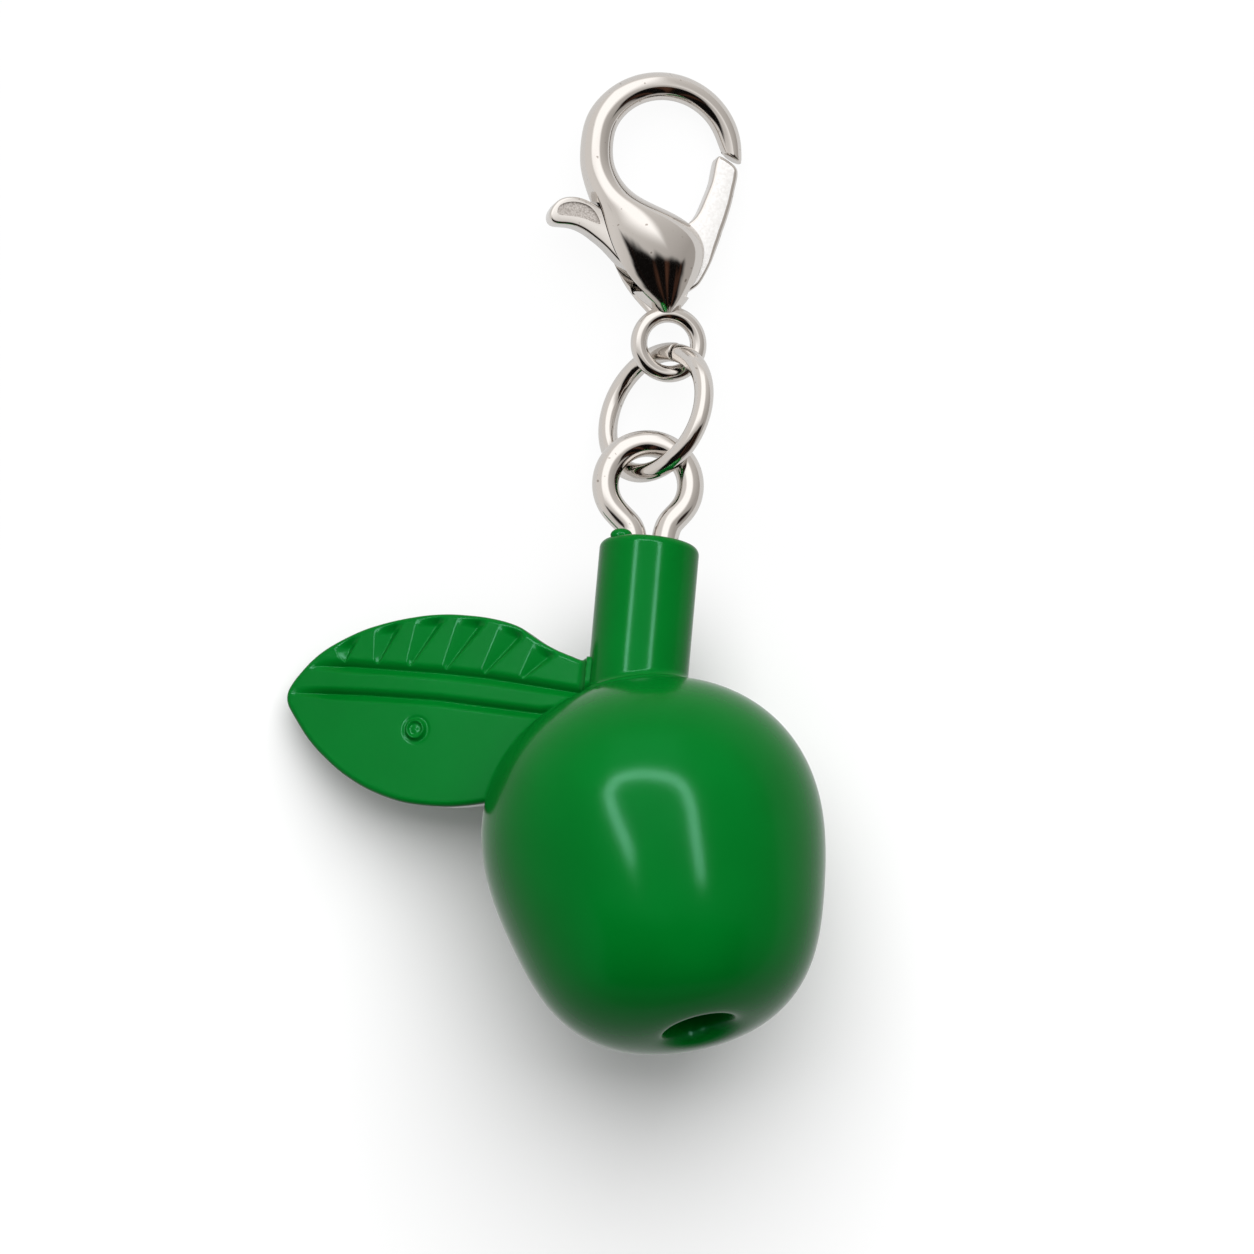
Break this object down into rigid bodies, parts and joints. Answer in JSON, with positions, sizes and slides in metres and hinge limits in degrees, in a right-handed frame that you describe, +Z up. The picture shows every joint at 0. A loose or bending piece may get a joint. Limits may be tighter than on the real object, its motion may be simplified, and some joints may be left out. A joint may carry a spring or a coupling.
{
  "type": "apple charm",
  "caption": "Small glossy green plastic apple charm with stem and leaf, hung by a wire eye and jump ring from a lobster-claw clasp.",
  "frame": {"origin": "centre of the bounding box's base, on the surface that the charm lies on", "axes": "+Z up, +Y from the apple toward the hook of the clasp, -X toward the tip of the leaf"},
  "size_m": [0.0173, 0.0316, 0.011],
  "materials": {
    "green_plastic": "moulded gloss green",
    "plated_wire": "bright plating on round wire",
    "plated_clasp": "bright plating, satin on the flat faces of the lever",
    "spring_steel": "plain spring wire"
  },
  "bodies": {
    "charm": {"apple_moulding": "green_plastic", "wire_eye": "plated_wire"},
    "ring": {"jump_ring": "plated_wire"},
    "clasp": {"clasp_body": "plated_clasp", "clasp_pin": "plated_clasp", "clasp_spring": "spring_steel"},
    "lever": {"clasp_lever": "plated_clasp"}
  },
  "joints": [
    {"name": "ring_swing", "type": "hinge", "parent": "charm", "child": "ring", "pos_m": [0.00291, 0.00276, 0.00259], "axis": [-0.7226, -0.0569, -0.6889], "range_deg": [-24, 24]},
    {"name": "clasp_swing", "type": "hinge", "parent": "ring", "child": "clasp", "pos_m": [0.00377, 0.00667, 0.00157], "axis": [0.7081, -0.0091, 0.7061], "range_deg": [-40, 40]},
    {"name": "lever_turn", "type": "hinge", "parent": "clasp", "child": "lever", "pos_m": [0.00382, 0.0096, 0.00127], "axis": [0.1822, 0.0857, 0.9795], "range_deg": [0, 26], "stiffness_Nm_per_rad": 0.006, "springref_deg": -22.92}
  ]
}
